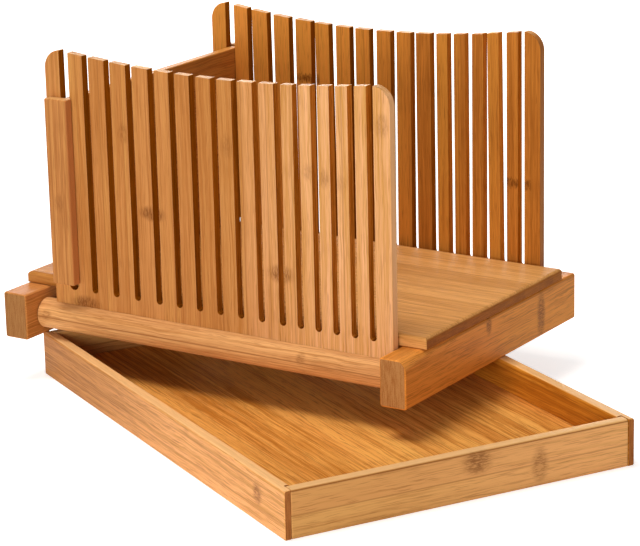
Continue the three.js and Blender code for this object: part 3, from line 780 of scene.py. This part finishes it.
def build_panel(side, sizes, finish, leans):
    node_name = f"{side}_slotted_panel"
    low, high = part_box(node_name)
    holder = bpy.data.objects.new("panel holder", bpy.data.meshes.new("panel holder"))
    bpy.context.scene.collection.objects.link(holder)
    tree = panel_tree(finish)
    growth = holder.modifiers.new("panel", "NODES")
    growth.node_group = tree
    identifiers = {item.name: item.identifier for item in tree.interface.items_tree if item.in_out == "INPUT"}
    for name, size in sizes.items():
        growth[identifiers[name]] = size * MM
    growth[identifiers["Corner"]] = (low.x, low.y, GUIDE_LIFT * MM)
    soften(holder, SLAT_EDGE, steps=3)
    evaluated = holder.evaluated_get(bpy.context.evaluated_depsgraph_get())
    mesh = bpy.data.meshes.new_from_object(evaluated)
    bpy.data.objects.remove(holder)

    # The holder's own empty mesh leaves an empty place before the panel's finish
    if mesh.materials[0] is None:
        mesh.materials.pop(index=0)
    paint_slot_shade(mesh)
    lean_slats(mesh, leans)
    mesh.name = f"{side}_comb_panel"
    panel = bpy.data.objects.new(f"{side}_comb_panel", mesh)
    bpy.context.scene.collection.objects.link(panel)
    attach(panel, f"{side}_panel")
    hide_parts(node_name)
    mesh_low = Vector([min(v.co[i] for v in mesh.vertices) for i in range(3)])
    mesh_high = Vector([max(v.co[i] for v in mesh.vertices) for i in range(3)])
    off_box = [round(v / MM, 2) for v in (*(mesh_low - low), *(mesh_high - high))]
    print(side, "panel:", len(mesh.polygons), "faces, off the measured box by", off_box)
    print("finishes:", [material.name for material in mesh.materials])


build_panel("front", PANEL_SIZES, front_panel_bamboo, FRONT_LEANS)
build_panel("rear", PANEL_SIZES | REAR_TOP, rear_panel_bamboo, REAR_LEANS)

# %% [markdown]
# ## The carried-over pieces
#
# The rails, rods, deck, end board, battens and tray keep their measured solids, and so do the steel
# pins and screws. Each gets its finish and its soft arrises. The two plain panels are hidden now,
# and only get their finish.

# %% Finish the carried-over pieces
HIDDEN_PANELS = ("front_slotted_panel", "rear_slotted_panel")
FINISHES = {
    "left_rail": left_rail_bamboo, "right_rail": right_rail_bamboo, "cutting_deck": deck_bamboo,
    "front_slotted_panel": front_panel_bamboo, "rear_slotted_panel": rear_panel_bamboo,
    "front_hinge_rod": rod_bamboo, "rear_hinge_rod": rod_bamboo,
    "end_board": end_board_bamboo, "front_end_batten": batten_bamboo, "rear_end_batten": batten_bamboo,
    "tray_near_long_wall": tray_wall_bamboo, "tray_far_long_wall": far_wall_bamboo,
    "tray_left_short_wall": tray_end_bamboo, "tray_right_short_wall": tray_end_bamboo,
    "tray_floor": tray_floor_bamboo,
}
for name, piece in nodes.items():
    piece.data.materials.clear()
    piece.data.materials.append(FINISHES.get(name, steel))
    fine_edge = name not in FINISHES or name.startswith("tray")
    if name not in HIDDEN_PANELS:
        soften(piece, FINE_EDGE if fine_edge else BOARD_EDGE)
print("carried-over pieces:", len(nodes) - len(HIDDEN_PANELS))

# %% [markdown]
# ## Floor and light
#
# A white paper floor that runs out of sight, lit as in a small studio: a soft lamp overhead, a
# little to the left, which leaves the tray dark below the guide, a wide low one in front, a weak
# one behind for the sides away from the camera, and an even white surround. The paper glows a
# little to the camera and to reflections, so that it reads as white and still keeps the shadow.

# %% Floor
FLOOR_REACH = 9
PAPER_GLOW = 0.58
WHITE = linear("#ffffff")

corners = [(x * FLOOR_REACH, y * FLOOR_REACH, 0) for x, y in ((-1, -1), (1, -1), (1, 1), (-1, 1))]
floor_mesh = bpy.data.meshes.new("floor")
floor_mesh.from_pydata(corners, [], [(0, 1, 2, 3)])
floor = bpy.data.objects.new("floor", floor_mesh)
bpy.context.scene.collection.objects.link(floor)


def seen_directly(tree):
    """One for what the camera, reflections and glass see, and zero for light on the object."""
    rays = add_node(tree, "ShaderNodeLightPath").outputs
    calc = calculator(tree)
    seen = calc("ADD", rays["Is Camera Ray"], rays["Is Glossy Ray"])
    return calc("ADD", seen, rays["Is Transmission Ray"], use_clamp=True)


def floor_finish():
    material, tree = new_material("white paper floor")
    calc = calculator(tree)
    paper = add_node(tree, "ShaderNodeBsdfPrincipled", {
        "Base Color": linear("#f7f6f4"),
        "Roughness": 0.9,
        "Specular IOR Level": 0.1,
        "Emission Color": WHITE,
        "Emission Strength": calc("MULTIPLY", seen_directly(tree), PAPER_GLOW),
    })
    add_node(tree, "ShaderNodeOutputMaterial", {"Surface": paper.outputs[0]})
    return material


floor_mesh.materials.append(floor_finish())
print("floor:", 2 * FLOOR_REACH, "metres wide")

# %% World and lamps
SURROUND = 0.20
LIT_POINT = Vector((0, 0, 0.1))

world = bpy.data.worlds.new("white studio")
bpy.context.scene.world = world
world.use_nodes = True
sky = world.node_tree
sky.nodes.clear()
levels = {"Value": seen_directly(sky), "To Min": SURROUND, "To Max": 1.0}
strength = add_node(sky, "ShaderNodeMapRange", levels).outputs[0]
background = add_node(sky, "ShaderNodeBackground", {"Color": WHITE, "Strength": strength})
add_node(sky, "ShaderNodeOutputWorld", {"Surface": background.outputs[0]})


def soft_lamp(name, place, size, watts):
    """A rectangular lamp that shines at the guide. Its place and size are in metres."""
    data = bpy.data.lights.new(name, "AREA")
    data.shape = "RECTANGLE"
    data.size, data.size_y = size
    data.energy = watts
    lamp = bpy.data.objects.new(name, data)
    lamp.location = place
    lamp.rotation_euler = (LIT_POINT - Vector(place)).to_track_quat("-Z", "Y").to_euler()
    bpy.context.scene.collection.objects.link(lamp)


soft_lamp("overhead lamp", (-0.35, -0.15, 1.7), (0.7, 0.7), 22.5)
soft_lamp("front fill", (0.45, -1.75, 0.4), (1.2, 0.5), 20.5)
soft_lamp("rear fill", (-1.0, 1.45, 0.55), (0.9, 0.6), 10)
bpy.context.scene.view_settings.view_transform = "Standard"
print("lamps:", [lamp.name for lamp in bpy.data.lights])
